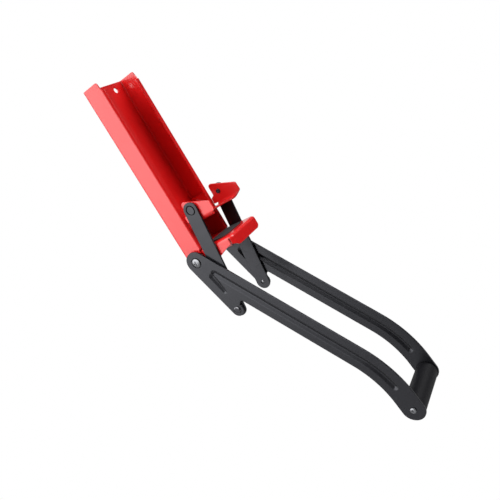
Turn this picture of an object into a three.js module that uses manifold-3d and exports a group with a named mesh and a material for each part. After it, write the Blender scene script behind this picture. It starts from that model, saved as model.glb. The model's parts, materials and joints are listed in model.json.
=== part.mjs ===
// Wall-mounted lever can crusher: a folded steel channel, a ram that slides along it, a fixed anvil
// shelf at its foot, and a two-armed handle that drives the ram through a pair of links.
// Millimetres, +Z up. The channel opens towards -Y, and the pivots run along X. Heights are measured
// from the channel's lower end, and the whole is then set down so that the origin lies on the wall
// plane, in the middle, level with the handle's pivots.
import * as THREE from "three";
import { mergeVertices } from "three/addons/utils/BufferGeometryUtils.js";
import Module from "manifold-3d";

const wasm = await Module();
wasm.setup();

// ---------------------------------------------------------------- driving dimensions
const GAP = 0.4; // clearance between neighbouring pieces
const BEYOND = 5; // how far a cutting body runs past the piece it cuts

const CHANNEL = {
  halfWidth: 38.1,
  depth: 31.5,
  height: 266,
  sheet: 2,
  lip: 8.7, // measured from the outer face of the wall
  bend: 4, // outer radius of every fold
  lipStart: 27, // the lips stop above the anvil
  lipEnd: 254.5,
  topCut: 26.8, // depth that is left at the very top of the side walls
  topCutEase: 1.6, // the cut meets the front this far ahead of the fold
  footCut: 20, // depth that is left at the very foot of the side walls
  footCutTop: 17, // height where the cut at the foot meets the front
};
const WALL_HOLES = { x: 19.2, upper: 256.3, lower: 74, radius: 3.6 };

// Pivot centres as [y, z], handle lowered
const PIVOT = [-15.5, 13.5]; // handle on channel
const CRANK = { length: 80.2, angle: 12.75 }; // handle pivot to link pivot, degrees forward of down
const RAM_PIN = [-49.8, 76.2]; // link on ram

const ARM = {
  inner: 39.3, // distance of its inner face from the middle
  thickness: 2.9,
  halfWidth: 15.1,
  straight: 234, // handle pivot to the start of the curve
  lean: 36.5, // degrees forward of straight down
  curveRadius: 150,
  endLean: 8,
  tail: 17, // end of the curve to the grip
  tabRadius: 9.2,
  tabRoot: 72.4, // where the tab's front edge meets the bar, measured along the bar
  tabWrap: 18, // degrees that the tab's round end runs on past a half turn
};
const GROOVE = { halfWidth: 4.8, depth: 1.4, start: 27, endLean: 15.5 };
// The groove's branch towards the tab. Each end is [distance along the bar, distance behind its middle].
const BRANCH = { start: [26.8, 6.5], startHalf: 5.2, end: [48.5, 16.8], endHalf: 3.4 };
const LINK = { inner: 36.1, thickness: 2.8, radius: 10.4 };
const GRIP = { radius: 14, coreRadius: 8, screwRadius: 2.5, screwHead: 3.9 };

const SHEET = 2.5; // ram and anvil
const RAM = {
  halfWidth: 35.6,
  bottom: 58.2,
  bend: 6,
  earRear: -38.8,
  earTop: 91.2, // at the rear; the top edge slopes down towards the front
  earFoot: -33.2, // the foot of the ear reaches further back, up to footTop
  footTop: 71,
  footStep: 3, // rise from footTop to the ear's own rear edge
  front: -79.8,
  frontTop: 76.2,
  nose: -80.4,
  noseHeight: 64.5,
  prongEnd: -71,
  mouth: 24.5, // radius of the round opening in the press plate
  mouthCentre: -62,
  shoeTop: 84,
  shoeHalfWidth: 34.4, // clear of the folds inside the channel
  reliefDepth: 6.6, // notch at the rear foot of each ear
  reliefHeight: 4.6,
};
const ANVIL = {
  halfWidth: 35.6,
  top: 26.4,
  front: -80.4,
  corner: 8,
  rimFoot: 9.8, // height of the rim's foot in the middle, up to rimFlat on either side
  rimFlat: 26,
  rimEnd: 15.8, // height of the rim's foot at the corners
  sideFoot: 3,
  slit: -74.2,
  slitWidth: 2,
  // foot line of the cheeks as [y, height], from the back forwards
  cheek: [[-37, 3], [-50.6, 7.5], [-64, 12.8], [-74.2, 16]],
};
const PAD = { thickness: 1, halfWidth: 26, front: -66, rear: -34, corner: 12 };

const PIVOT_BOLT = { shank: 3.9, head: 6, recess: 7.1, recessDepth: 1.3, headHeight: 2.6 };
const RIVET = { shank: 2.6, head: 5.2, sinkDepth: 1.2, tail: 3.3 };

// ---------------------------------------------------------------- materials
function finish(colour, roughness, metalness) {
  return new THREE.MeshStandardMaterial({ color: colour, roughness, metalness });
}
const RED_PAINT = finish(0xc4151a, 0.25, 0.1);
const BLACK_PAINT = finish(0x26262a, 0.45, 0.2);
const RIVET_PAINT = finish(0x2c2c31, 0.4, 0.3);
const ZINC = finish(0xb9bcc0, 0.35, 0.9);
const GRIP_PLASTIC = finish(0x1d1d20, 0.6, 0);
const RUBBER = finish(0x151515, 0.85, 0);

// ---------------------------------------------------------------- plane geometry
const rad = THREE.MathUtils.degToRad;
const forwardOfDown = (degrees) => [-Math.sin(rad(degrees)), -Math.cos(rad(degrees))];
const along = ([a, b], [u, v], distance) => [a + u * distance, b + v * distance];
const angleOf = ([a, b], [c, d]) => Math.atan2(d - b, c - a);

const TAB_PIN = along(PIVOT, forwardOfDown(CRANK.angle), CRANK.length);

// A closed outline whose corners [a, b, radius] are rounded with tangent arcs.
function roundedShape(corners) {
  const shape = new THREE.Shape();
  corners.forEach(([a, b, radius = 0], i) => {
    const before = corners[(i + corners.length - 1) % corners.length];
    const after = corners[(i + 1) % corners.length];
    const point = new THREE.Vector2(a, b);
    const back = new THREE.Vector2(before[0], before[1]).sub(point).normalize();
    const on = new THREE.Vector2(after[0], after[1]).sub(point).normalize();
    const half = Math.acos(THREE.MathUtils.clamp(back.dot(on), -1, 1)) / 2;
    if (!radius) {
      if (i === 0) shape.moveTo(a, b);
      else shape.lineTo(a, b);
      return;
    }
    const reach = radius / Math.tan(half);
    const from = point.clone().addScaledVector(back, reach);
    const to = point.clone().addScaledVector(on, reach);
    const middle = back.clone().add(on).normalize().multiplyScalar(radius / Math.sin(half));
    const centre = point.clone().add(middle);
    if (i === 0) shape.moveTo(from.x, from.y);
    else shape.lineTo(from.x, from.y);
    const start = Math.atan2(from.y - centre.y, from.x - centre.x);
    const end = Math.atan2(to.y - centre.y, to.x - centre.x);
    shape.absarc(centre.x, centre.y, radius, start, end, back.cross(on) > 0);
  });
  shape.closePath();
  return shape;
}

function circleShape([a, b], radius) {
  const shape = new THREE.Shape();
  shape.absarc(a, b, radius, 0, Math.PI * 2, false);
  return shape;
}

// The outside of a slot from one point to another, with its own radius at each end
function taperedSlot(from, fromRadius, to, toRadius) {
  const facing = angleOf(from, to);
  const length = Math.hypot(to[0] - from[0], to[1] - from[1]);
  const tangent = Math.acos((fromRadius - toRadius) / length);
  const shape = new THREE.Shape();
  shape.absarc(...from, fromRadius, facing + tangent, facing - tangent + Math.PI * 2, false);
  shape.absarc(...to, toRadius, facing - tangent, facing + tangent, false);
  shape.closePath();
  return shape;
}

// ---------------------------------------------------------------- solids
function solid(geometry) {
  const bare = geometry.clone();
  bare.deleteAttribute("normal");
  bare.deleteAttribute("uv");
  const merged = mergeVertices(bare, 1e-4);
  const vertProperties = new Float32Array(merged.attributes.position.array);
  const triVerts = new Uint32Array(merged.index.array);
  return new wasm.Manifold(new wasm.Mesh({ numProp: 3, vertProperties, triVerts }));
}

function geometryOf(body) {
  const mesh = body.getMesh();
  const geometry = new THREE.BufferGeometry();
  const position = new THREE.BufferAttribute(new Float32Array(mesh.vertProperties), 3);
  geometry.setAttribute("position", position);
  geometry.setIndex(new THREE.BufferAttribute(new Uint32Array(mesh.triVerts), 1));
  const flat = geometry.toNonIndexed();
  flat.computeVertexNormals();
  return flat;
}

// A (y, z) outline extruded along X, between two X stations
const SIDE_TURN = new THREE.Matrix4().makeRotationFromEuler(new THREE.Euler(Math.PI / 2, Math.PI / 2, 0));
function acrossX(shape, x0, x1, segments = 8) {
  const depth = Math.abs(x1 - x0);
  const geometry = new THREE.ExtrudeGeometry(shape, { depth, bevelEnabled: false, curveSegments: segments });
  return solid(geometry.applyMatrix4(SIDE_TURN).translate(Math.min(x0, x1), 0, 0));
}

// An (x, y) outline extruded up Z
function upZ(shape, z0, z1, segments = 8) {
  const depth = z1 - z0;
  const geometry = new THREE.ExtrudeGeometry(shape, { depth, bevelEnabled: false, curveSegments: segments });
  return solid(geometry.translate(0, 0, z0));
}

// An (x, z) outline extruded along Y
function alongY(shape, y0, y1, segments = 8) {
  const depth = y1 - y0;
  const geometry = new THREE.ExtrudeGeometry(shape, { depth, bevelEnabled: false, curveSegments: segments });
  return solid(geometry.rotateX(Math.PI / 2).translate(0, y1, 0));
}

function box(x0, x1, y0, y1, z0, z1) {
  const geometry = new THREE.BoxGeometry(x1 - x0, y1 - y0, z1 - z0);
  return solid(geometry.translate((x0 + x1) / 2, (y0 + y1) / 2, (z0 + z1) / 2));
}

// A disc or pin along X, centred on [y, z]
function pinX([y, z], radius, x0, x1, segments = 24) {
  const geometry = new THREE.CylinderGeometry(radius, radius, Math.abs(x1 - x0), segments);
  return solid(geometry.rotateZ(Math.PI / 2).translate((x0 + x1) / 2, y, z));
}

function unite(first, ...others) {
  return others.reduce((sum, other) => sum.add(other), first);
}

function piece(group, name, body, material) {
  const mesh = new THREE.Mesh(geometryOf(body), material);
  mesh.name = name;
  group.add(mesh);
}

// ---------------------------------------------------------------- channel
// Folded C-section with inward lips, its side walls cut back at both ends
function channel() {
  const { halfWidth: w, depth: d, height: h, sheet: t, lip, bend: r } = CHANNEL;
  const edge = w - lip;
  const inside = r - t;
  const section = roundedShape([
    [-w, 0, r],
    [-w, -d, r],
    [-edge, -d],
    [-edge, -d + t],
    [-w + t, -d + t, inside],
    [-w + t, -t, inside],
    [w - t, -t, inside],
    [w - t, -d + t, inside],
    [edge, -d + t],
    [edge, -d],
    [w, -d, r],
    [w, 0, r],
  ]);
  const front = -d - BEYOND;
  const wallFront = -d + r;
  // what is cut away in side view: the chamfers at the top, and the corners below the lips
  const topCut = roundedShape([
    [-CHANNEL.topCut, h + BEYOND],
    [-CHANNEL.topCut, h],
    [wallFront - CHANNEL.topCutEase, CHANNEL.lipEnd],
    [front, CHANNEL.lipEnd],
    [front, h + BEYOND],
  ]);
  const footCut = roundedShape([
    [front, CHANNEL.lipStart],
    [wallFront, CHANNEL.lipStart],
    [wallFront, CHANNEL.footCutTop],
    [-CHANNEL.footCut, 0],
    [-CHANNEL.footCut, -BEYOND],
    [front, -BEYOND],
  ]);
  let body = upZ(section, 0, h, 4);
  body = body.subtract(acrossX(topCut, -w - BEYOND, w + BEYOND));
  body = body.subtract(acrossX(footCut, -w - BEYOND, w + BEYOND));
  for (const x of [-WALL_HOLES.x, WALL_HOLES.x]) {
    for (const z of [WALL_HOLES.upper, WALL_HOLES.lower]) {
      body = body.subtract(alongY(circleShape([x, z], WALL_HOLES.radius), -t - 1, 1, 10));
    }
  }
  return body.subtract(pinX(PIVOT, PIVOT_BOLT.shank + GAP, -w - BEYOND, w + BEYOND));
}

// ---------------------------------------------------------------- ram
// One folded sheet: two ears in front of the lips, a press plate with a round mouth, a neck between
// the lips, and a shoe with upturned sides that runs behind them.
function ram() {
  const { halfWidth: w, bottom, bend: r } = RAM;
  const t = SHEET;
  const inside = r - t;
  const top = RAM.earTop + BEYOND;
  const cradle = (wall) =>
    roundedShape([
      [-wall, top],
      [-wall, bottom, r],
      [wall, bottom, r],
      [wall, top],
      [wall - t, top],
      [wall - t, bottom + t, inside],
      [-wall + t, bottom + t, inside],
      [-wall + t, top],
    ]);
  const lipBack = -CHANNEL.depth + CHANNEL.sheet;
  const earOutline = roundedShape([
    [RAM.earFoot, bottom],
    [RAM.earFoot, RAM.footTop, 1.5],
    [RAM.earRear, RAM.footTop + RAM.footStep, 1.5],
    [RAM.earRear, RAM.earTop, 4],
    [RAM.front, RAM.frontTop, 3],
    [RAM.nose, RAM.noseHeight, 2.5],
    [RAM.prongEnd, bottom, 3],
  ]);
  const shoeOutline = roundedShape([
    [-CHANNEL.sheet - 0.6, bottom],
    [-CHANNEL.sheet - 0.6, RAM.shoeTop, 2],
    [lipBack + GAP, RAM.shoeTop, 2],
    [lipBack + GAP, bottom],
  ]);
  const cutOut = (wall, outline) =>
    alongY(cradle(wall), RAM.nose - BEYOND, 0, 4).intersect(acrossX(outline, -w - 1, w + 1, 4));
  const ears = cutOut(w, earOutline);
  const shoe = cutOut(RAM.shoeHalfWidth, shoeOutline);
  const neckHalf = CHANNEL.halfWidth - CHANNEL.lip - GAP;
  const neck = box(-neckHalf, neckHalf, RAM.earFoot - 1, lipBack + GAP + 1, bottom, bottom + t);
  const mouth = upZ(circleShape([0, RAM.mouthCentre], RAM.mouth), bottom - 1, bottom + t + 1, 14);
  const [mouthFrom, mouthTo] = [RAM.nose - BEYOND, RAM.mouthCentre];
  const mouthFront = box(-RAM.mouth, RAM.mouth, mouthFrom, mouthTo, bottom - 1, bottom + t + 1);
  let body = unite(ears, shoe, neck).subtract(mouth).subtract(mouthFront);
  // bend reliefs at the rear foot of each ear
  for (const side of [-1, 1]) {
    const near = side * (neckHalf + 0.4);
    const far = side * (w + 1);
    const [x0, x1] = [Math.min(near, far), Math.max(near, far)];
    const front = RAM.earFoot - RAM.reliefDepth;
    body = body.subtract(box(x0, x1, front, RAM.earFoot + 1, bottom - 1, bottom + RAM.reliefHeight));
  }
  return body.subtract(pinX(RAM_PIN, RIVET.shank + 0.3, -w - BEYOND, w + BEYOND, 16));
}

// ---------------------------------------------------------------- anvil
// Folded shelf: flat top, side cheeks that run back into the channel, and a rim round the front
function anvil() {
  const { halfWidth: w, top, front, corner } = ANVIL;
  const t = SHEET;
  const rear = -CHANNEL.bend - 0.3;
  const plan = (inset) =>
    roundedShape([
      [-w + inset, rear + (inset ? 1 : 0)],
      [-w + inset, front + inset, corner - inset],
      [w - inset, front + inset, corner - inset],
      [w - inset, rear + (inset ? 1 : 0)],
    ]);
  const outside = new THREE.ExtrudeGeometry(plan(1), {
    depth: top - ANVIL.sideFoot + 4,
    bevelSize: 1,
    bevelThickness: 1,
    bevelSegments: 2,
    curveSegments: 6,
  }).translate(0, 0, ANVIL.sideFoot - 5);
  let body = solid(outside).intersect(box(-w - 1, w + 1, front - 1, rear, ANVIL.sideFoot, top));
  body = body.subtract(upZ(plan(t), ANVIL.sideFoot - 1, top - t, 6));
  // foot line of the cheeks in side view, then of the rim in front view
  const cheekFoot = roundedShape([
    [ANVIL.cheek[0][0] + 7, ANVIL.sideFoot - BEYOND],
    ...ANVIL.cheek,
    [ANVIL.slit, ANVIL.sideFoot - BEYOND],
  ]);
  body = body.subtract(acrossX(cheekFoot, -w - 1, w + 1));
  const rimFoot = roundedShape([
    [-w - 1, ANVIL.sideFoot - BEYOND],
    [-w - 1, ANVIL.rimEnd],
    [-w + 0.5, ANVIL.rimEnd],
    [-ANVIL.rimFlat, ANVIL.rimFoot],
    [ANVIL.rimFlat, ANVIL.rimFoot],
    [w - 0.5, ANVIL.rimEnd],
    [w + 1, ANVIL.rimEnd],
    [w + 1, ANVIL.sideFoot - BEYOND],
  ]);
  body = body.subtract(alongY(rimFoot, front - 1, ANVIL.slit - ANVIL.slitWidth));
  for (const side of [-1, 1]) {
    const near = side * (w - t - 0.5);
    const far = side * (w + 1);
    const [x0, x1] = [Math.min(near, far), Math.max(near, far)];
    body = body.subtract(box(x0, x1, ANVIL.slit - ANVIL.slitWidth, ANVIL.slit, ANVIL.sideFoot, top - t - 0.4));
  }
  return body.subtract(pinX(PIVOT, PIVOT_BOLT.shank + GAP, -w - BEYOND, w + BEYOND));
}

// Thin rubber mat on the shelf
function anvilPad() {
  const { halfWidth: w, front, rear, corner } = PAD;
  const plan = roundedShape([
    [-w, rear],
    [-w, front, corner],
    [w, front, corner],
    [w, rear],
  ]);
  const bottom = ANVIL.top + 0.3;
  return upZ(plan, bottom, bottom + PAD.thickness, 6);
}

// ---------------------------------------------------------------- handle arm
// Flat outline shared by both arms: pivot boss, long bar that curves down to the grip, and the
// short tab that carries the link
const DOWN_BAR = forwardOfDown(ARM.lean);
const DOWN_END = forwardOfDown(ARM.endLean);
const behind = ([u, v]) => [-v, u]; // quarter turn towards the back of the arm
const CURVE_START = along(PIVOT, DOWN_BAR, ARM.straight);
const CURVE_CENTRE = along(CURVE_START, behind(DOWN_BAR), ARM.curveRadius);
const onCurve = (lean) => along(CURVE_CENTRE, behind(forwardOfDown(lean)), -ARM.curveRadius);
const GRIP_CENTRE = along(onCurve(ARM.endLean), DOWN_END, ARM.tail);

// The bar from a point along its straight part, round the curve to a given lean, and on by a tail
function barShape(halfWidth, from, endLean, tail) {
  const facing = angleOf([0, 0], DOWN_BAR);
  const facingEnd = angleOf([0, 0], forwardOfDown(endLean));
  const start = along(PIVOT, DOWN_BAR, from);
  const end = along(onCurve(endLean), forwardOfDown(endLean), tail);
  const quarter = Math.PI / 2;
  const shape = new THREE.Shape();
  shape.absarc(...start, halfWidth, facing + quarter, facing + 3 * quarter, false);
  shape.absarc(...CURVE_CENTRE, ARM.curveRadius + halfWidth, facing - quarter, facingEnd - quarter, false);
  shape.absarc(...end, halfWidth, facingEnd - quarter, facingEnd + quarter, false);
  shape.absarc(...CURVE_CENTRE, ARM.curveRadius - halfWidth, facingEnd - quarter, facing - quarter, true);
  shape.closePath();
  return shape;
}

// Tab: tangent along its back from the pivot boss, with a small round notch where it leaves the bar
function tabShape() {
  const backward = angleOf(PIVOT, TAB_PIN);
  const lift = Math.asin((ARM.halfWidth - ARM.tabRadius) / CRANK.length);
  const tangent = backward + Math.PI / 2 - lift;
  const onBoss = along(PIVOT, [Math.cos(tangent), Math.sin(tangent)], ARM.halfWidth);
  const shape = new THREE.Shape();
  shape.moveTo(...onBoss);
  const root = along(along(PIVOT, DOWN_BAR, ARM.tabRoot), behind(DOWN_BAR), ARM.halfWidth);
  shape.absarc(...TAB_PIN, ARM.tabRadius, tangent, tangent - Math.PI - rad(ARM.tabWrap), true);
  shape.lineTo(...root);
  shape.lineTo(...along(root, behind(DOWN_BAR), -ARM.halfWidth));
  shape.lineTo(...PIVOT);
  shape.closePath();
  return shape;
}

function arm(side) {
  const face = side * (ARM.inner + ARM.thickness);
  const [x0, x1] = [Math.min(side * ARM.inner, face), Math.max(side * ARM.inner, face)];
  const blank = (shape) => acrossX(shape, x0, x1, 10);
  let body = blank(barShape(ARM.halfWidth, 0, ARM.endLean, ARM.tail)).add(blank(tabShape()));
  // the stamped groove faces -X on both arms
  const grooveFrom = [x0 - 1, x0 + GROOVE.depth];
  const onBar = ([down, back]) => along(along(PIVOT, DOWN_BAR, down), behind(DOWN_BAR), back);
  const branch = taperedSlot(onBar(BRANCH.start), BRANCH.startHalf, onBar(BRANCH.end), BRANCH.endHalf);
  body = body.subtract(acrossX(barShape(GROOVE.halfWidth, GROOVE.start, GROOVE.endLean, 1), ...grooveFrom, 6));
  body = body.subtract(acrossX(branch, ...grooveFrom, 6));
  const recess = [face - side * PIVOT_BOLT.recessDepth, face + side];
  body = body.subtract(pinX(PIVOT, PIVOT_BOLT.shank + GAP, x0 - 1, x1 + 1));
  body = body.subtract(pinX(PIVOT, PIVOT_BOLT.recess, Math.min(...recess), Math.max(...recess)));
  body = body.subtract(pinX(TAB_PIN, RIVET.shank + 0.3, x0 - 1, x1 + 1, 16));
  return body.subtract(pinX(GRIP_CENTRE, GRIP.screwRadius + 0.3, x0 - 1, x1 + 1, 16));
}

// ---------------------------------------------------------------- link
function link(side) {
  const inner = side * LINK.inner;
  const outer = side * (LINK.inner + LINK.thickness);
  const [x0, x1] = [Math.min(inner, outer), Math.max(inner, outer)];
  let body = acrossX(taperedSlot(RAM_PIN, LINK.radius, TAB_PIN, LINK.radius), x0, x1, 12);
  const sink = [outer - side * RIVET.sinkDepth, outer + side];
  body = body.subtract(pinX(RAM_PIN, RIVET.shank + 0.3, x0 - 1, x1 + 1, 16));
  body = body.subtract(pinX(RAM_PIN, RIVET.head + 0.3, Math.min(...sink), Math.max(...sink)));
  return body.subtract(pinX(TAB_PIN, RIVET.shank + 0.3, x0 - 1, x1 + 1, 16));
}

// ---------------------------------------------------------------- fasteners
// Round-headed pivot bolt from outside, with a cross recess
function pivotBolt(side) {
  const seat = side * (ARM.inner + ARM.thickness - PIVOT_BOLT.recessDepth + 0.3);
  const headOut = seat + side * PIVOT_BOLT.headHeight;
  const shankEnd = side * (ANVIL.halfWidth - SHEET - 8.5);
  const [y, z] = PIVOT;
  const crown = (radius, x0, x1) => pinX(PIVOT, radius, x0, x1);
  let body = unite(
    crown(PIVOT_BOLT.shank, shankEnd, seat + side * 0.2),
    crown(PIVOT_BOLT.head, seat, seat + side * 1.6),
    crown(PIVOT_BOLT.head - 1.1, seat + side * 1.5, headOut),
  );
  const cutDepth = [headOut - side * 1.5, headOut + side];
  const [x0, x1] = [Math.min(...cutDepth), Math.max(...cutDepth)];
  body = body.subtract(box(x0, x1, y - 3, y + 3, z - 0.7, z + 0.7));
  return body.subtract(box(x0, x1, y - 0.7, y + 0.7, z - 3, z + 3));
}

function pivotNut(side) {
  const face = side * (ANVIL.halfWidth - SHEET - GAP);
  const hexagon = new THREE.CylinderGeometry(7.5, 7.5, 6, 6).rotateZ(Math.PI / 2);
  const body = solid(hexagon.translate(face - side * 3, ...PIVOT));
  return body.subtract(pinX(PIVOT, PIVOT_BOLT.shank + 0.3, face - side * 7, face + side));
}

function pivotWasher(side) {
  const x0 = side * (CHANNEL.halfWidth + 0.3);
  const x1 = side * (ARM.inner - 0.3);
  return pinX(PIVOT, 10.5, x0, x1).subtract(pinX(PIVOT, PIVOT_BOLT.shank + 0.3, x0 - side, x1 + side));
}

// Rivet that holds a link on its ear: flush head in the link, upset tail inside the ear
function ramRivet(side) {
  const outer = side * (LINK.inner + LINK.thickness);
  const headIn = outer - side * (RIVET.sinkDepth - 0.3);
  const earInside = side * (RAM.halfWidth - SHEET - 0.3);
  return unite(
    pinX(RAM_PIN, RIVET.head, headIn, outer),
    pinX(RAM_PIN, RIVET.shank, earInside - side * 0.2, headIn + side * 0.2, 16),
    pinX(RAM_PIN, RIVET.tail, earInside, earInside - side * 1.4, 16),
  );
}

// The pin between arm and link is in two halves that meet face to face
function tabRivetHead(side) {
  const outer = side * (ARM.inner + ARM.thickness + 0.3);
  return unite(
    pinX(TAB_PIN, RIVET.shank, side * (ARM.inner + 0.1), outer + side * 0.2, 16),
    pinX(TAB_PIN, RIVET.head - 0.2, outer, outer + side * 1.5),
  );
}

function tabRivetTail(side) {
  return pinX(TAB_PIN, RIVET.shank, side * LINK.inner, side * (LINK.inner + LINK.thickness), 16);
}

// ---------------------------------------------------------------- grip
function gripCore() {
  const end = ARM.inner - 0.3;
  const bore = (side) => pinX(GRIP_CENTRE, GRIP.screwRadius + 0.3, side * (end - 14), side * (end + 1), 16);
  return pinX(GRIP_CENTRE, GRIP.coreRadius, -end, end).subtract(bore(-1)).subtract(bore(1));
}

function gripSleeve() {
  const end = ARM.inner - 0.5;
  const profile = [
    [GRIP.coreRadius + 0.3, -end],
    [GRIP.radius - 1, -end],
    [GRIP.radius, -end + 1],
    [GRIP.radius, end - 1],
    [GRIP.radius - 1, end],
    [GRIP.coreRadius + 0.3, end],
    [GRIP.coreRadius + 0.3, -end],
  ].map(([r, x]) => new THREE.Vector2(r, x));
  const tube = new THREE.LatheGeometry(profile, 32).rotateZ(-Math.PI / 2);
  return solid(tube.translate(0, ...GRIP_CENTRE));
}

function gripScrew(side) {
  const outer = side * (ARM.inner + ARM.thickness + 0.3);
  return unite(
    pinX(GRIP_CENTRE, GRIP.screwRadius, side * (ARM.inner - 12), outer + side * 0.2, 16),
    pinX(GRIP_CENTRE, GRIP.screwHead, outer, outer + side * 1.3),
    pinX(GRIP_CENTRE, GRIP.screwHead - 1, outer + side * 1.2, outer + side * 2, 16),
  );
}

// ---------------------------------------------------------------- assembly
const crusher = new THREE.Group();
const frame = new THREE.Group();
const slider = new THREE.Group();
const handle = new THREE.Group();
crusher.add(frame, slider, handle);
crusher.position.z = -PIVOT[1];

piece(frame, "channel", channel(), RED_PAINT);
piece(frame, "anvil", anvil(), RED_PAINT);
piece(frame, "anvil_pad", anvilPad(), RUBBER);
piece(slider, "ram", ram(), RED_PAINT);
piece(handle, "grip_core", gripCore(), ZINC);
piece(handle, "grip_sleeve", gripSleeve(), GRIP_PLASTIC);

for (const side of [-1, 1]) {
  const which = side < 0 ? "left" : "right";
  const linkage = new THREE.Group();
  crusher.add(linkage);
  piece(frame, `pivot_bolt_${which}`, pivotBolt(side), ZINC);
  piece(frame, `pivot_nut_${which}`, pivotNut(side), ZINC);
  piece(frame, `pivot_washer_${which}`, pivotWasher(side), ZINC);
  piece(slider, `ram_rivet_${which}`, ramRivet(side), RIVET_PAINT);
  piece(handle, `arm_${which}`, arm(side), BLACK_PAINT);
  piece(handle, `tab_rivet_${which}`, tabRivetHead(side), RIVET_PAINT);
  piece(handle, `grip_screw_${which}`, gripScrew(side), ZINC);
  piece(linkage, `link_${which}`, link(side), BLACK_PAINT);
  piece(linkage, `link_pin_${which}`, tabRivetTail(side), RIVET_PAINT);
}

export default crusher;
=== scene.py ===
import json
import math

import bpy
import numpy as np
from mathutils import Matrix, Vector
from mathutils.geometry import delaunay_2d_cdt


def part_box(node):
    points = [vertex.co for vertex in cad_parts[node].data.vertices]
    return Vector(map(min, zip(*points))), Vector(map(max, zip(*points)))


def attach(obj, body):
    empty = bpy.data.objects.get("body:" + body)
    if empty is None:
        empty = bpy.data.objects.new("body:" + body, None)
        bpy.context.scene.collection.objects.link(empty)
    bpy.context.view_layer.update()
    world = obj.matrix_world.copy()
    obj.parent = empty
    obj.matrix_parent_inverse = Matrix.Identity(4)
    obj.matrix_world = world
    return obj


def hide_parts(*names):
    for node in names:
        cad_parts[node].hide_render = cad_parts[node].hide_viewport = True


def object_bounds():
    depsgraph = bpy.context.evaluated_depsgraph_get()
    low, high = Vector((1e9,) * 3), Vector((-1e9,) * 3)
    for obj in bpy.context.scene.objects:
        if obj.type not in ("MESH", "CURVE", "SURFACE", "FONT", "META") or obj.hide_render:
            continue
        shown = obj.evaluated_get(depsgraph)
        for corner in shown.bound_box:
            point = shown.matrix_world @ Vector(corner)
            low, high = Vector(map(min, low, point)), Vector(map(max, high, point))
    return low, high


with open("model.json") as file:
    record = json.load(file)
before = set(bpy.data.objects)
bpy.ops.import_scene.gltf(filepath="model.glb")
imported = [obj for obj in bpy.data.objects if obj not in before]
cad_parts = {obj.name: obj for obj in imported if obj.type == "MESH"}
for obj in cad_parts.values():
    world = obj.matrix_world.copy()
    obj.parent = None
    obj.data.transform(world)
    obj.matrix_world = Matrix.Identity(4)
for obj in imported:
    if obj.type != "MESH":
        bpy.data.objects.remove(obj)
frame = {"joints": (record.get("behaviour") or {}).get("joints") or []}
cad_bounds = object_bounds()

# The looks of a wall-mounted can crusher. Every piece is a mesh made here, in the frame's own axes.
# Shapes are worked out in millimetres and heights are measured from the channel's foot; the mesh is
# written in metres.

# ---------------------------------------------------------------- measures taken from the frame
MM = 1000.0
SIDES = {"left": -1, "right": 1}


def box_mm(node):
    low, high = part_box(node)
    return np.array(low) * MM, np.array(high) * MM


def reach(node):
    """The least and greatest distance of a node from the middle plane, in mm."""
    low, high = box_mm(node)
    near, far = sorted((abs(low[0]), abs(high[0])))
    return near, far


FOOT = box_mm("channel")[0][2]
UP = np.array([0.0, FOOT])


def joint_centre(name):
    joint = next(j for j in frame["joints"] if j["name"] == name)
    return np.array(joint["pos_m"][1:]) * MM - UP


def middle(node):
    low, high = box_mm(node)
    return (low + high)[1:] / 2 - UP


# centres as (y, height above the foot)
PIVOT = joint_centre("handle_pivot")
RAM_PIN = joint_centre("link_pivot_left")
TAB_PIN = middle("link_pin_left")
GRIP_CENTRE = middle("grip_sleeve")

# ---------------------------------------------------------------- driving dimensions, mm
CHANNEL_WIDE = box_mm("channel")[1][0]
CHANNEL_DEEP = -box_mm("channel")[0][1]
CHANNEL_TALL = box_mm("channel")[1][2] - FOOT
CHANNEL_SHEET = 2.0
CHANNEL_BEND = 4.0
CHANNEL_LIP = 8.7
LIP_START = 27.0
LIP_END = 254.5
FOOT_CUT = 20.0  # depth that is left at the very foot of the side walls
FOOT_CUT_TOP = 17.0  # height where the cut at the foot meets the front
TOP_CUT = 26.8  # depth that is left at the very top of the side walls
TOP_CUT_EASE = 1.6  # the cut at the top ends this far round the front fold
WALL_HOLE_X = 19.2
WALL_HOLE_HEIGHTS = (74.0, 256.3)
WALL_HOLE_RADIUS = 3.6

SHEET = 2.5
RAM_WIDE = box_mm("ram")[1][0]
RAM_FOOT = box_mm("ram")[0][2] - FOOT
RAM_REAR = box_mm("ram")[1][1]
RAM_BEND = 6.0
RAM_MOUTH = 24.5  # radius of the round opening in the press plate
MOUTH_CENTRE = -62.0
PRONG_END = -71.0
EAR_REAR = -38.8
EAR_TOP = 91.2  # at the rear; the top edge slopes down towards the front
EAR_FRONT = -79.8
EAR_FRONT_TOP = 76.2
EAR_FOOT = -33.2  # the ear's foot reaches further back, up to EAR_FOOT_TOP
EAR_FOOT_TOP = 71.0
EAR_FOOT_STEP = 3.0  # rise from EAR_FOOT_TOP to the ear's own rear edge
NOSE = -80.4
NOSE_HEIGHT = 64.5
RELIEF_DEPTH = 6.6  # notch at the rear foot of each ear
RELIEF_HEIGHT = 4.6
SHOE_FRONT = -29.1
SHOE_TOP = 84.0
SHOE_WIDE = 34.4
NECK_WIDE = 29.0

ANVIL_WIDE = box_mm("anvil")[1][0]
ANVIL_TOP = box_mm("anvil")[1][2] - FOOT
ANVIL_FRONT = box_mm("anvil")[0][1]
ANVIL_REAR = box_mm("anvil")[1][1]
ANVIL_BEND = 4.2
ANVIL_CORNER = 8.0
RIM_FOOT = 9.8  # height of the rim's foot in the middle, up to RIM_FLAT on either side
RIM_FLAT = 26.0
RIM_END = 15.8  # height of the rim's foot at the corners
# the relief slit lies between these two, in degrees round the corner from the cheek
SLIT_FRONT = 28.4
SLIT_REAR = 13.0
SLIT_FOOT = 16.0  # height of the skirt's foot beside the slit
CHEEK_START = 15.4  # height of the cheek's foot where it leaves the corner
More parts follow.
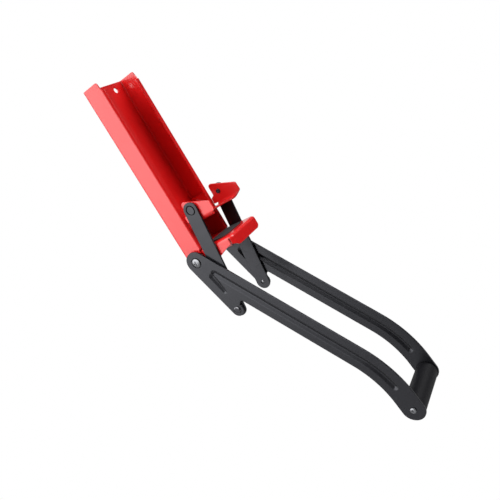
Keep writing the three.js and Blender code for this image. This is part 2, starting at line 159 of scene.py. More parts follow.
# foot line of the cheeks as (y, height, rounding), from the front backwards
CHEEK_FOOT = [(-64.0, 12.8, 0), (-50.6, 7.5, 2), (-37.0, 3.0, 3)]
PAD_CORNER = 12.0

ARM_HALF = 15.1
ARM_LEAN = 36.5
ARM_STRAIGHT = 234.0
ARM_CURVE = 150.0
ARM_END_LEAN = 8.0
TAB_HALF = 9.2
TAB_ROOT = 72.4  # where the tab's front edge meets the bar, measured along the bar
TAB_WRAP = 18.0  # degrees that the tab's round end runs on past a half turn
ARM_HOLE = 2.8  # for the grip's screw
GROOVE_HALF = 5.0
GROOVE_DEEP = 2.1
GROOVE_WALL = 4.8  # width of each sloping side
GROOVE_ROUNDING = 0.15  # share of that width that is rounded at the rim and at the foot
GROOVE_MESH = 0.8  # spacing of the mesh in and round the groove
GROOVE_START = 27.0
GROOVE_END_LEAN = 15.5
# the groove's branch: each end as (distance along the bar, distance behind its middle)
BRANCH_START = (26.8, 6.5)
BRANCH_START_HALF = 5.4
BRANCH_END = (48.5, 16.8)
BRANCH_END_HALF = 3.6
LINK_HALF = 10.4

BOLT_SHANK = 3.9
BOLT_HEAD = 6.0
BOLT_HEAD_TALL = 2.6
BOLT_CROSS = (3.0, 0.7)  # half the length and half the width of each bar of the recess
BOLT_RECESS = 7.1
BOLT_RECESS_DEEP = 1.3
GRIP_SCREW_SHANK = 2.5
GRIP_SCREW_HEAD = 3.9
GRIP_SCREW_HEAD_TALL = 2.0
GRIP_SCREW_CROSS = (1.9, 0.5)
GRIP_BORE = 8.3
GRIP_HOLE = 2.8  # screw hole in each end of the rod inside the grip
GRIP_HOLE_DEEP = 14.0
RIVET_SHANK = 2.6
RIVET_HEAD = 5.2
RIVET_SINK = 1.2
RIVET_TAIL = 3.3
TAB_HEAD = 5.0
TAB_HEAD_TALL = 1.5
NUT_RADIUS = 7.5  # across its corners, halved
WASHER_RADIUS = 10.5

CLEAR = 0.3  # play round rivets, and of nuts and washers on the pivot bolt
BORE_CLEAR = 0.4  # play of the pivot bolt in the sheets


# ---------------------------------------------------------------- plane outlines
def unit(angle):
    return np.array([math.cos(angle), math.sin(angle)])


def forward_of_down(degrees):
    lean = math.radians(degrees)
    return np.array([-math.sin(lean), -math.cos(lean)])


def behind(direction):
    return np.array([-direction[1], direction[0]])


def heading(direction):
    return math.atan2(direction[1], direction[0])


def arc(centre, radius, start, end, step=math.radians(6)):
    """Points from angle start to angle end, in radians, either way round."""
    count = max(2, math.ceil(abs(end - start) / step) + 1)
    return [np.asarray(centre) + radius * unit(a) for a in np.linspace(start, end, count)]


def circle(centre, radius, count=48):
    return arc(centre, radius, 0, 2 * math.pi, 2 * math.pi / count)[:-1]


def rounded(corners, step=math.radians(15)):
    """A closed outline. A corner (a, b, radius) becomes a tangent arc, and (a, b) stays as it is."""
    points = []
    for i, corner in enumerate(corners):
        here = np.array(corner[:2], float)
        radius = corner[2] if len(corner) > 2 else 0
        if not radius:
            points.append(here)
            continue
        before = np.array(corners[i - 1][:2], float) - here
        after = np.array(corners[(i + 1) % len(corners)][:2], float) - here
        before /= np.linalg.norm(before)
        after /= np.linalg.norm(after)
        half = math.acos(np.clip(before @ after, -1, 1)) / 2
        bisector = before + after
        bisector /= np.linalg.norm(bisector)
        centre = here + bisector * radius / math.sin(half)
        start = heading(here + before * radius / math.tan(half) - centre)
        end = heading(here + after * radius / math.tan(half) - centre)
        turn = (end - start + math.pi) % (2 * math.pi) - math.pi
        points += arc(centre, radius, start, start + turn, step)
    return points


def mirrored(right_half):
    """A whole outline from its right half: corners (u, v, radius) are repeated at -u in reverse."""
    return right_half + [(-c[0], *c[1:]) for c in reversed(right_half)]


def tidy_loop(points, outside, cuts=(), step=None):
    """A loop with no doubled points and its material on the left. Its edges are split at the values
    of u in cuts and, where step is given, at that spacing."""
    loop = [points[0]]
    for point in points[1:]:
        if np.linalg.norm(point - loop[-1]) > 0.02:
            loop.append(point)
    if np.linalg.norm(loop[0] - loop[-1]) < 0.02:
        loop.pop()
    split = []
    for here, after in zip(loop, loop[1:] + loop[:1]):
        length = np.linalg.norm(after - here)
        shares = []
        if abs(after[0] - here[0]) > 1e-6:
            shares += [(cut - here[0]) / (after[0] - here[0]) for cut in cuts]
        if step:
            shares += list(np.arange(step, length, step) / length)
        split.append(here)
        last = 0.0
        for share in sorted(shares):
            if min(share - last, 1 - share) * length > 0.05:
                split.append(here + share * (after - here))
                last = share
    loop = np.array(split)
    x, y = loop.T
    area = np.sum(x * np.roll(y, -1) - np.roll(x, -1) * y)
    return loop if (area > 0) == outside else loop[::-1]


def out_of(loop):
    """The direction out of the material at each point, long enough for a mitred offset of 1."""
    edge = np.roll(loop, -1, 0) - loop
    normal = np.stack([edge[:, 1], -edge[:, 0]], 1)
    normal /= np.linalg.norm(normal, axis=1)[:, None]
    mitre = normal + np.roll(normal, 1, 0)
    mitre /= np.linalg.norm(mitre, axis=1)[:, None]
    return mitre / np.maximum(np.sum(mitre * normal, 1), 0.5)[:, None]


def contains(rings, points):
    inside = np.zeros(len(points), bool)
    for ring in rings:
        for (x0, y0), (x1, y1) in zip(ring, np.roll(ring, -1, 0)):
            crosses = (y0 > points[:, 1]) != (y1 > points[:, 1])
            if y1 != y0:
                at = x0 + (points[:, 1] - y0) / (y1 - y0) * (x1 - x0)
                inside ^= crosses & (points[:, 0] < at)
    return inside


def distance_to(path, points, closed=False):
    """Distance of each point from a line through path."""
    nearest = np.full(len(points), 1e9)
    ends = np.roll(path, -1, 0) if closed else path[1:]
    for start, end in zip(path, ends):
        edge = end - start
        share = np.clip((points - start) @ edge / max(edge @ edge, 1e-12), 0, 1)
        nearest = np.minimum(nearest, np.linalg.norm(points - start - share[:, None] * edge, axis=1))
    return nearest


def smooth(x):
    x = np.clip(x, 0, 1)
    return x * x * (3 - 2 * x)


# ---------------------------------------------------------------- shells
# A shell is one closed surface: points in mm, faces, a normal for each point, and how much of an
# edge each point is (0 on a face, 1 on an edge).
def sheet_shell(loops, place, thickness, edge=0.4, inside=(), front=None, back=None, steps=3):
    """Sheet cut to loops in its own plane (u, v), laid out by place(uv, w). w is 0 on the front face
    and -thickness on the back. Edges are rounded; front and back give a face's relief."""
    relief = (front or (lambda uv: np.zeros(len(uv))), back or (lambda uv: np.zeros(len(uv))))
    ways = [out_of(loop) for loop in loops]
    rings = [loop - way * edge for loop, way in zip(loops, ways)]
    extra = np.array(inside, float).reshape(-1, 2)
    if len(extra):
        extra = extra[contains(rings, extra)]
        gap = np.min([distance_to(ring, extra, True) for ring in rings], axis=0)
        extra = extra[gap > 0.2]
    flat = np.vstack([*rings, extra])
    edges = []
    first = 0
    for ring in rings:
        size = len(ring)
        edges += [(first + i, first + (i + 1) % size) for i in range(size)]
        first += size
    found = delaunay_2d_cdt([Vector(p) for p in flat], edges, [], 0, 1e-7)
    came_from = [ids[0] for ids in found[3]]
    triangles = np.array([[came_from[i] for i in face] for face in found[2]])
    triangles = triangles[contains(rings, flat[triangles].mean(1))]

    # rows: front face, back face, then the rounded edge from front to back
    way_flat = np.vstack([*ways, np.zeros_like(extra)])
    zero = np.zeros(len(flat))
    parts = [
        (flat, relief[0](flat), zero, way_flat),
        (flat, -thickness + relief[1](flat), zero + math.pi, way_flat),
    ]
    strips = []
    loop_uv, loop_way = np.vstack(loops), np.vstack(ways)
    base = 2 * len(flat)
    for quarter in (0, 1):
        level = relief[quarter](flat[: len(loop_uv)])
        for k in range(1 - quarter, steps + 1 - quarter):
            tilt = math.pi / 2 * (k / steps + quarter)
            w = -edge * (1 - math.cos(tilt)) if not quarter else -thickness + edge * (1 + math.cos(tilt))
            size = len(loop_uv)
            uv = loop_uv - loop_way * edge * (1 - math.sin(tilt))
            parts.append((uv, w + level, np.full(size, tilt), loop_way))
            strips.append(base)
            base += size
    uv, w, tilt, way = (np.concatenate([p[i] for p in parts]) for i in range(4))

    small = 0.02
    points = place(uv, w)
    lift_u, lift_v = np.array([small, 0]), np.array([0, small])
    on_back = tilt > 3

    def raised(uv):
        level = w.copy()
        level[: len(flat)] = relief[0](uv[: len(flat)])
        level[len(flat): 2 * len(flat)] = -thickness + relief[1](uv[len(flat): 2 * len(flat)])
        return place(uv, level)

    along_u = raised(uv + lift_u) - raised(uv - lift_u)
    along_v = raised(uv + lift_v) - raised(uv - lift_v)
    upward = place(uv, w + small) - place(uv, w - small)
    across = np.cross(along_u, along_v)
    across /= np.linalg.norm(across, axis=1)[:, None]
    hand = np.sign(np.sum(across * upward, 1))
    across *= hand[:, None]
    sideways = place(uv + way * small, w) - place(uv - way * small, w)
    length = np.linalg.norm(sideways, axis=1)
    sideways /= np.maximum(length, 1e-9)[:, None]
    normals = across * np.cos(tilt)[:, None] + sideways * np.sin(tilt)[:, None]
    normals[on_back & (length < 1e-9)] = -across[on_back & (length < 1e-9)]

    size = len(flat)
    faces = [tuple(t) for t in triangles]
    faces += [tuple(t[::-1] + size) for t in triangles]
    rows = [0, *strips, size]
    first = 0
    for loop in loops:
        count = len(loop)
        for upper, lower in zip(rows, rows[1:]):
            for i in range(count):
                a, b = first + i, first + (i + 1) % count
                faces.append((upper + a, lower + a, lower + b, upper + b))
        first += count
    if hand[0] < 0:
        faces = [face[::-1] for face in faces]
    return points, faces, normals, np.sin(tilt)


def lathe_shell(profile, centre, count=48):
    """Turned part about the X direction through centre (y, height). The profile is a list of
    (x, radius) that starts and ends on the axis, or closes on itself."""
    profile = np.array(profile, float)
    closed = profile[0][1] > 1e-6
    if profile[0][0] > profile[-1][0]:
        profile = profile[::-1]
    ends = np.roll(profile, -1, 0) if closed else profile[1:]
    starts = profile if closed else profile[:-1]
    run = ends - starts
    normal = np.stack([-run[:, 1], run[:, 0]], 1)
    smooth_normal = np.zeros_like(profile)
    for i, n in enumerate(normal):
        smooth_normal[i] += n
        smooth_normal[(i + 1) % len(profile)] += n
    smooth_normal /= np.linalg.norm(smooth_normal, axis=1)[:, None]
    turns = np.linspace(0, 2 * math.pi, count, endpoint=False)
    points, normals, ids = [], [], []
    for (x, r), (nx, nr) in zip(profile, smooth_normal):
        row = []
        spots = [0.0] if r < 1e-6 else turns
        for turn in spots:
            c, s = math.cos(turn), math.sin(turn)
            row.append(len(points))
            points.append((x, centre[0] + r * c, centre[1] + FOOT + r * s))
            normals.append((math.copysign(1, nx), 0, 0) if r < 1e-6 else (nx, nr * c, nr * s))
        ids.append(row)
    faces = []
    pairs = zip(ids, ids[1:] + ids[:1]) if closed else zip(ids, ids[1:])
    for low, high in pairs:
        for i in range(count):
            j = (i + 1) % count
            corners = [low[i % len(low)], low[j % len(low)], high[j % len(high)], high[i % len(high)]]
            face = tuple(dict.fromkeys(corners))
            if len(face) > 2:
                faces.append(face)
    edges = [0.0 if r < 1e-6 else abs(nx * nr) * 2 for (_, r), (nx, nr) in zip(profile, smooth_normal)]
    edge = np.concatenate([np.full(len(row), e) for row, e in zip(ids, edges)])
    return np.array(points), faces, np.array(normals), edge


def piece(name, shells, material, body, slot, *stands_for):
    points, faces, normals, edge = [], [], [], []
    for shell in shells:
        first = len(points)
        points += list(shell[0] / MM)
        faces += [tuple(first + i for i in face) for face in shell[1]]
        normals += list(shell[2])
        edge += list(shell[3])
    mesh = bpy.data.meshes.new(name)
    mesh.from_pydata(points, [], faces)
    mesh.attributes.new("edge", "FLOAT", "POINT").data.foreach_set("value", edge)
    mesh.shade_smooth()
    mesh.normals_split_custom_set_from_vertices(normals)
    mesh.materials.append(material)
    obj = bpy.data.objects.new(name, mesh)
    bpy.context.scene.collection.objects.link(obj)
    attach(obj, body)
    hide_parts(*stands_for)
    return obj


# ---------------------------------------------------------------- folded sections
class Section:
    """Half of a sheet's folded section, from the middle outwards. A run is (length,) for a flat and
    (radius, degrees) for a fold, measured on the outer face."""

    def __init__(self, *runs):
        self.starts = []
        self.folds = []
        a, b, turn, u = 0.0, 0.0, 0.0, 0.0
        for run in runs:
            radius = run[0] if len(run) == 2 else 0
            length = radius * math.radians(run[1]) if radius else run[0]
            self.starts.append((u, a, b, turn, radius))
            if radius:
                self.folds.append((u, u + length))
                end = turn + length / radius
                a += radius * (math.sin(end) - math.sin(turn))
                b += radius * (math.cos(turn) - math.cos(end))
                turn = end
            else:
                a += length * math.cos(turn)
                b += length * math.sin(turn)
            u += length
        self.length = u

    def at(self, u, w):
        """Distance from the middle, and from the first flat's outer face to the side it folds to.
        w is measured outwards from the outer face."""
        size = np.abs(u)
        a, b = np.zeros_like(size), np.zeros_like(size)
        for start, a0, b0, turn, radius in self.starts:
            here = size >= start - 1e-9
            run = size - start
            now = turn + (run / radius if radius else 0 * run)
            if radius:
                a_here = a0 - radius * math.sin(turn) + (radius + w) * np.sin(now)
                b_here = b0 + radius * math.cos(turn) - (radius + w) * np.cos(now)
            else:
                a_here = a0 + run * math.cos(turn) + w * math.sin(turn)
                b_here = b0 + run * math.sin(turn) - w * math.cos(turn)
            a = np.where(here, a_here, a)
            b = np.where(here, b_here, b)
        return np.where(u < 0, -a, a), b

    def fold_lines(self, steps=8):
        lines = [np.linspace(low, high, steps + 1) for low, high in self.folds]
        lines = np.concatenate(lines)
        return np.concatenate([-lines[::-1], lines])


def grid(us, vs):
    return np.array([(u, v) for u in us for v in vs])


# ---------------------------------------------------------------- materials
def new_material(name, base, roughness, metallic=0.0, coat=0.0, coat_roughness=0.05, specular=0.5):
    material = bpy.data.materials.new(name)
    material.use_nodes = True
    shader = material.node_tree.nodes["Principled BSDF"]
    shader.inputs["Base Color"].default_value = (*base, 1)
    shader.inputs["Roughness"].default_value = roughness
    shader.inputs["Metallic"].default_value = metallic
    shader.inputs["Coat Weight"].default_value = coat
    shader.inputs["Coat Roughness"].default_value = coat_roughness
    shader.inputs["Specular IOR Level"].default_value = specular
    return material, shader


def node(material, kind, **sockets):
    made = material.node_tree.nodes.new(kind)
    for name, value in sockets.items():
        socket = made.inputs[name.replace("_", " ")]
        if isinstance(value, bpy.types.NodeSocket):
            material.node_tree.links.new(value, socket)
        else:
            socket.default_value = value
    return made


def place_of(material):
    return material.node_tree.nodes.new("ShaderNodeTexCoord").outputs["Object"]


def noise(material, size_mm, detail=3.0, stretch=(1, 1, 1), rough=0.5):
    """Noise whose lumps are about size_mm across."""
    mapping = node(material, "ShaderNodeMapping", Vector=place_of(material), Scale=stretch)
    made = node(material, "ShaderNodeTexNoise", Vector=mapping.outputs["Vector"], Scale=MM / size_mm,
                Detail=detail, Roughness=rough)
    return made.outputs["Fac"]


def ramp(material, value, low, high):
    """0 below low, 1 above high."""
    made = node(material, "ShaderNodeMapRange", Value=value)
    made.inputs["From Min"].default_value = low
    made.inputs["From Max"].default_value = high
    made.interpolation_type = "SMOOTHSTEP"
    return made.outputs["Result"]


def scaled(material, value, low, high):
    made = node(material, "ShaderNodeMapRange", Value=value)
    made.inputs["To Min"].default_value = low
    made.inputs["To Max"].default_value = high
    return made.outputs["Result"]


def worked_out(material, operation, first, second):
    made = node(material, "ShaderNodeMath")
    made.operation = operation
    for i, value in enumerate((first, second)):
        if isinstance(value, bpy.types.NodeSocket):
            material.node_tree.links.new(value, made.inputs[i])
        else:
            made.inputs[i].default_value = value
    return made.outputs["Value"]


def times(material, first, second):
    return worked_out(material, "MULTIPLY", first, second)


def mixed(material, share, first, second):
    made = material.node_tree.nodes.new("ShaderNodeMix")
    made.data_type = "RGBA"
    sockets = {"Factor": made.inputs[0], "A": made.inputs[6], "B": made.inputs[7]}
    for key, value in (("Factor", share), ("A", first), ("B", second)):
        if isinstance(value, bpy.types.NodeSocket):
            material.node_tree.links.new(value, sockets[key])
        else:
            sockets[key].default_value = value if key == "Factor" else (*value, 1)
    return made.outputs[2]


def edge_share(material):
    made = material.node_tree.nodes.new("ShaderNodeAttribute")
    made.attribute_name = "edge"
    return made.outputs["Fac"]


def bump(material, shader, height, depth_mm, under=None):
    made = node(material, "ShaderNodeBump", Height=height, Strength=1.0, Distance=depth_mm / MM)
    if under is not None:
        material.node_tree.links.new(under.outputs["Normal"], made.inputs["Normal"])
    material.node_tree.links.new(made.outputs["Normal"], shader.inputs["Normal"])
    return made


def link_to(material, output, shader, socket):
    material.node_tree.links.new(output, shader.inputs[socket])


def red_paint():
    """Glossy powder coat: slight orange peel, a thinner and paler coat along edges that is partly a painted
    highlight, faint dust.
    """
    material, shader = new_material("red_paint", (0.66, 0.006, 0.007), 0.3, coat=0.5, coat_roughness=0.14)
    drift = scaled(material, noise(material, 60, 2), 0, 1)
    shade = mixed(material, drift, (0.64, 0.005, 0.006), (0.70, 0.008, 0.008))
    # painted highlight: edges are mixed towards a paler pink, partly thin-coat wear and partly a painted
    # sheen on the folds
    edge_wear_and_highlight = times(material, edge_share(material), ramp(material, noise(material, 7, 4), 0.52, 0.7))
    colour = mixed(material, times(material, edge_wear_and_highlight, 0.35), shade, (0.72, 0.10, 0.09))
    link_to(material, colour, shader, "Base Color")
    link_to(material, scaled(material, noise(material, 14, 4), 0.24, 0.38), shader, "Roughness")
    peel = bump(material, shader, noise(material, 2.2, 2), 0.02)
    bump(material, shader, noise(material, 45, 1), 0.10, peel)
    return material


def black_paint(name="black_paint", base=(0.004, 0.004, 0.005)):
    """Satin powder coat with a fine grain, rubbed a little brighter along the edges."""
    material, shader = new_material(name, base, 0.42)
    shader.inputs["Specular Tint"].default_value = (0.90, 0.91, 1.0, 1)
    lighter = tuple(1.6 * c for c in base)
    shade = mixed(material, noise(material, 35, 3), base, lighter)
    edge_wear_and_highlight = times(material, edge_share(material), ramp(material, noise(material, 5, 4), 0.5, 0.68))
    colour = mixed(material, times(material, edge_wear_and_highlight, 0.5), shade, (0.07, 0.07, 0.078))
    link_to(material, colour, shader, "Base Color")
    link_to(material, scaled(material, noise(material, 9, 4), 0.26, 0.40), shader, "Roughness")
    grain = bump(material, shader, noise(material, 0.55, 2), 0.006)
    bump(material, shader, noise(material, 4, 2), 0.02, grain)
    return material


def zinc_plate():
    material, shader = new_material("zinc_plate", (0.62, 0.63, 0.65), 0.3, metallic=1.0)
    shade = mixed(material, noise(material, 3, 4), (0.17, 0.175, 0.185), (0.30, 0.305, 0.32))
    link_to(material, shade, shader, "Base Color")
    link_to(material, scaled(material, noise(material, 1.6, 4), 0.2, 0.42), shader, "Roughness")
    bump(material, shader, noise(material, 0.9, 3), 0.01)
    return material


def bare_steel():
    """Dark metal of the tab rivets, brighter where it is rubbed."""
    material, shader = new_material("bare_steel", (0.10, 0.10, 0.11), 0.3, metallic=1.0)
    edge_wear_and_highlight = times(material, edge_share(material), ramp(material, noise(material, 2, 3), 0.4, 0.6))
    shade = mixed(material, noise(material, 2.5, 4), (0.03, 0.03, 0.033), (0.06, 0.06, 0.066))
    link_to(material, mixed(material, edge_wear_and_highlight, shade, (0.2, 0.2, 0.21)), shader, "Base Color")
    link_to(material, scaled(material, noise(material, 1.4, 4), 0.2, 0.36), shader, "Roughness")
    bump(material, shader, noise(material, 0.8, 3), 0.008)
    return material


def grip_plastic():
    material, shader = new_material("grip_plastic", (0.005, 0.005, 0.006), 0.5, specular=0.15)
    shade = mixed(material, noise(material, 25, 3), (0.005, 0.005, 0.006), (0.007, 0.007, 0.009))
    link_to(material, shade, shader, "Base Color")
    link_to(material, scaled(material, noise(material, 8, 4), 0.46, 0.54), shader, "Roughness")
    bump(material, shader, noise(material, 0.7, 2), 0.01)
    return material


def rubber():
    material, shader = new_material("rubber", (0.02, 0.02, 0.022), 0.7)
    shade = mixed(material, noise(material, 12, 4), (0.017, 0.017, 0.019), (0.034, 0.033, 0.035))
    link_to(material, shade, shader, "Base Color")
    link_to(material, scaled(material, noise(material, 6, 4), 0.6, 0.82), shader, "Roughness")
    bump(material, shader, noise(material, 0.5, 3), 0.04)
    return material


RED = red_paint()
BLACK = black_paint()
DARK_STEEL = black_paint("dark_steel", (0.012, 0.012, 0.014))
RIVET_STEEL = bare_steel()
ZINC = zinc_plate()
GRIP = grip_plastic()
RUBBER = rubber()


# ---------------------------------------------------------------- channel
def make_channel():
    flat = CHANNEL_BEND
    wall = CHANNEL_DEEP - 2 * flat
    section = Section((CHANNEL_WIDE - flat,), (flat, 90), (wall,), (flat, 90), (CHANNEL_LIP - flat,))

    def place(uv, w):
        x, depth = section.at(uv[:, 0], w)
        return np.stack([x, -depth, uv[:, 1] + FOOT], 1)

    def on_wall(y):
        return section.folds[0][1] - y - flat

    lip_edge = section.length
    lip_fold = section.folds[1][0]
    outline = rounded(mirrored([
        (on_wall(-FOOT_CUT), 0, 1.2),
        (lip_fold, FOOT_CUT_TOP, 3),
        (lip_fold, LIP_START, 0.5),
        (lip_edge, LIP_START, 1.5),
        (lip_edge, LIP_END, 1.5),
        (lip_fold + TOP_CUT_EASE, LIP_END, 0.8),
        (on_wall(-TOP_CUT), CHANNEL_TALL, 2.5),
    ]))
    lines = section.fold_lines()
    loops = [tidy_loop(outline, True, lines)]
    for side in (-1, 1):
        for height in WALL_HOLE_HEIGHTS:
            loops.append(tidy_loop(circle((side * WALL_HOLE_X, height), WALL_HOLE_RADIUS), False))
        bore = (side * on_wall(PIVOT[0]), PIVOT[1])
        loops.append(tidy_loop(circle(bore, BOLT_SHANK + BORE_CLEAR), False))
    inside = grid(lines, np.arange(3, CHANNEL_TALL, 5.0))
    shell = sheet_shell(loops, place, CHANNEL_SHEET, 0.35, inside)
    piece("channel_sheet", [shell], RED, "wall_frame", "red_paint", "channel")


# ---------------------------------------------------------------- ram
def make_ram():
    plate = RAM_WIDE - RAM_BEND
    rest = SHOE_TOP + EAR_TOP  # more than the height of any ear
    ear = Section((plate,), (RAM_BEND, 90), (rest,))
    shoe = Section((plate - (RAM_WIDE - SHOE_WIDE),), (RAM_BEND, 90), (rest,))
    neck_middle = (EAR_FOOT + SHOE_FRONT) / 2

    def place(uv, w):
        x_ear, rise_ear = ear.at(uv[:, 0], w)
        x_shoe, rise_shoe = shoe.at(uv[:, 0], w)
        behind_lips = uv[:, 1] > neck_middle
        x = np.where(behind_lips, x_shoe, x_ear)
        rise = np.where(behind_lips, rise_shoe, rise_ear)
        return np.stack([x, uv[:, 1], rise + RAM_FOOT + FOOT], 1)

    def up_ear(height, section=ear):
        return section.folds[0][1] + height - RAM_FOOT - RAM_BEND

    slope = (NOSE - PRONG_END) / (NOSE_HEIGHT - RAM_FOOT)
    mouth = [(*p,) for p in arc((0, MOUTH_CENTRE), RAM_MOUTH, math.pi / 2, 0)]
    prong = []
    for turn in np.radians(np.arange(11.25, 70, 11.25)):
        rise = RAM_BEND * (1 - math.cos(turn))
        prong.append((plate + RAM_BEND * turn, PRONG_END + slope * rise))
    notch = plate + RAM_BEND * math.acos(1 - RELIEF_HEIGHT / RAM_BEND)
    outline = rounded(mirrored([
        *mouth[1:],
        (RAM_MOUTH, PRONG_END, 1.5),
        (plate, PRONG_END, 1.0),
        *prong,
        (up_ear(NOSE_HEIGHT), NOSE, 2.2),
        (up_ear(EAR_FRONT_TOP), EAR_FRONT, 3),
        (up_ear(EAR_TOP), EAR_REAR, 4),
        (up_ear(EAR_FOOT_TOP + EAR_FOOT_STEP), EAR_REAR, 1.5),
        (up_ear(EAR_FOOT_TOP), EAR_FOOT, 1.5),
        (notch, EAR_FOOT, 0.6),
        (notch, EAR_FOOT - RELIEF_DEPTH, 1.4),
        (NECK_WIDE, EAR_FOOT - RELIEF_DEPTH, 1.2),
        (NECK_WIDE, SHOE_FRONT, 0.5),
        (up_ear(SHOE_TOP, shoe), SHOE_FRONT, 2),
        (up_ear(SHOE_TOP, shoe), RAM_REAR, 2),
    ]))
    lines = np.concatenate([ear.fold_lines(), shoe.fold_lines()])
    loops = [tidy_loop(outline, True, sorted(lines))]
    for side in (-1, 1):
        loops.append(tidy_loop(circle((side * up_ear(RAM_PIN[1]), RAM_PIN[0]), RIVET_SHANK + CLEAR), False))
    inside = np.vstack([
        grid(ear.fold_lines(), np.arange(NOSE + 1.4, neck_middle, 2.5)),
        grid(shoe.fold_lines(), np.arange(neck_middle + 1, RAM_REAR, 3.0)),
    ])
    shell = sheet_shell(loops, place, SHEET, 0.45, inside)
    piece("ram_sheet", [shell], RED, "ram_slide", "red_paint", "ram")


# ---------------------------------------------------------------- anvil
def make_anvil():
    bend, corner = ANVIL_BEND, ANVIL_CORNER
    side_core = ANVIL_WIDE - bend
    corner_x, corner_y = ANVIL_WIDE - corner, ANVIL_FRONT + corner
    fold = bend * math.pi / 2

    def spread(height):
        """Distance from the flat's edge to a height on the skirt, round the fold."""
        return fold + ANVIL_TOP - bend - height

    def place(uv, w):
        sign = np.where(uv[:, 0] < 0, -1.0, 1.0)
        u, v = np.abs(uv[:, 0]), uv[:, 1]
        to_corner = np.stack([u - corner_x, v - corner_y], 1)
        length = np.maximum(np.linalg.norm(to_corner, axis=1), 1e-9)
        at_side = v >= corner_y
        at_front = ~at_side & (u <= corner_x)
        nx = np.where(at_side, 1.0, np.where(at_front, 0.0, to_corner[:, 0] / length))
        ny = np.where(at_side, 0.0, np.where(at_front, -1.0, to_corner[:, 1] / length))
        past_front = np.where(at_front, ANVIL_FRONT + bend - v, length - corner + bend)
        beyond = np.where(at_side, u - side_core, past_front)
        turn = np.clip(beyond / bend, 0, math.pi / 2)
        drop = np.maximum(beyond - fold, 0)
        out = (bend + w) * np.sin(turn) - np.clip(beyond, 0, None)
        x = u + nx * out
        y = v + ny * out
        z = ANVIL_TOP - bend + (bend + w) * np.cos(turn) - drop
        return np.stack([sign * x, y, z + FOOT], 1)

    def rim_height(x):
        return RIM_FOOT + np.clip((x - RIM_FLAT) / (ANVIL_WIDE - RIM_FLAT), 0, 1) * (RIM_END - RIM_FOOT)

    def at_corner(degrees, distance):
        angle = math.radians(degrees)
        radius = corner - bend + distance
        return (corner_x + radius * math.cos(angle), corner_y - radius * math.sin(angle))

    def skirt_corner(degrees):
        return at_corner(degrees, spread(rim_height(corner_x + corner * math.cos(math.radians(degrees)))))

    slit_top = spread(ANVIL_TOP - SHEET - 0.4)
    front = ANVIL_FRONT + bend
    outline = rounded(mirrored([
        (RIM_FLAT - 2, front - spread(RIM_FOOT)),
        (RIM_FLAT, front - spread(RIM_FOOT + 0.3)),
        (corner_x, front - spread(rim_height(corner_x))),
        *[skirt_corner(a) for a in np.arange(86, SLIT_FRONT + 3, -6)],
        (*skirt_corner(SLIT_FRONT), 0.6),
        (*at_corner(SLIT_FRONT, slit_top), 0.3),
        (*at_corner(SLIT_REAR, slit_top), 0.3),
        (*at_corner(SLIT_REAR, spread(SLIT_FOOT)), 0.6),
        *[at_corner(a, spread(CHEEK_START + (SLIT_FOOT - CHEEK_START) * a / SLIT_REAR)) for a in (8, 4)],
        (side_core + spread(CHEEK_START), corner_y),
        *[(side_core + spread(height), y, rounding) for y, height, rounding in CHEEK_FOOT],
        (side_core + spread(CHEEK_FOOT[-1][1]), ANVIL_REAR, 1),
    ]))
    loops = [tidy_loop(outline, True, step=2.0)]
    for side in (-1, 1):
        bore = (side * (side_core + spread(PIVOT[1])), PIVOT[0])
        loops.append(tidy_loop(circle(bore, BOLT_SHANK + BORE_CLEAR), False))
    inside = []
    for beyond in [*np.linspace(0, fold, 9), *np.arange(fold + 2, 24, 2)]:
        for side in (-1, 1):
            inside += [(side * (side_core + beyond), v) for v in np.arange(corner_y, ANVIL_REAR, 3.0)]
            inside += [(side * p[0], p[1]) for p in (at_corner(a, beyond) for a in range(5, 90, 5))]
        inside += [(u, front - beyond) for u in np.linspace(-corner_x, corner_x, 19)]
    shell = sheet_shell(loops, place, SHEET, 0.45, inside)
    piece("anvil_sheet", [shell], RED, "wall_frame", "red_paint", "anvil")


def make_pad():
    low, high = box_mm("anvil_pad")
    wide, front, rear = high[0], low[1], high[1]
    outline = rounded(mirrored([(wide, front, PAD_CORNER), (wide, rear, 1.5)]), math.radians(6))

    def place(uv, w):
        return np.stack([uv[:, 0], uv[:, 1], high[2] + w], 1)

    shell = sheet_shell([tidy_loop(outline, True)], place, high[2] - low[2], 0.4, steps=4)
    piece("shelf_pad", [shell], RUBBER, "wall_frame", "rubber", "anvil_pad")


# ---------------------------------------------------------------- handle arms and links
BAR = forward_of_down(ARM_LEAN)
CURVE_START = PIVOT + BAR * ARM_STRAIGHT
CURVE_CENTRE = CURVE_START + behind(BAR) * ARM_CURVE


def across_x(face, way):
    """A flat piece whose front face is at x = face and looks along way (-1 or 1)."""
    def place(uv, w):
        return np.stack([face + way * w, uv[:, 0], uv[:, 1] + FOOT], 1)
    return place


def curve_turn(lean):
    return heading(-behind(forward_of_down(lean)))


def arm_outline():
    down_end = forward_of_down(ARM_END_LEAN)
    quarter = math.pi / 2
    lift = math.asin((ARM_HALF - TAB_HALF) / np.linalg.norm(TAB_PIN - PIVOT))
    tangent = heading(TAB_PIN - PIVOT) + quarter - lift
    front = heading(-behind(BAR))
    root = PIVOT + BAR * TAB_ROOT + behind(BAR) * ARM_HALF
    inner, outer = ARM_CURVE - ARM_HALF, ARM_CURVE + ARM_HALF
    start, end = curve_turn(ARM_LEAN), curve_turn(ARM_END_LEAN)
    grip_turn = heading(down_end)
    points = [
        *arc(PIVOT, ARM_HALF, front, tangent),
        *arc(TAB_PIN, TAB_HALF, tangent, tangent - math.pi - math.radians(TAB_WRAP)),
    ]
    corners = [(*p,) for p in points] + [(*root, 2.6), (*(root + BAR * 12),)]
    points = [
        *arc(CURVE_CENTRE, inner, start, end, math.radians(1.5)),
        *arc(GRIP_CENTRE, ARM_HALF, grip_turn + quarter, grip_turn - quarter),
        *arc(CURVE_CENTRE, outer, end, start, math.radians(1.5)),
    ]
    return rounded(corners + [(*p,) for p in points])


def on_bar(down, back):
    return PIVOT + BAR * down + behind(BAR) * back


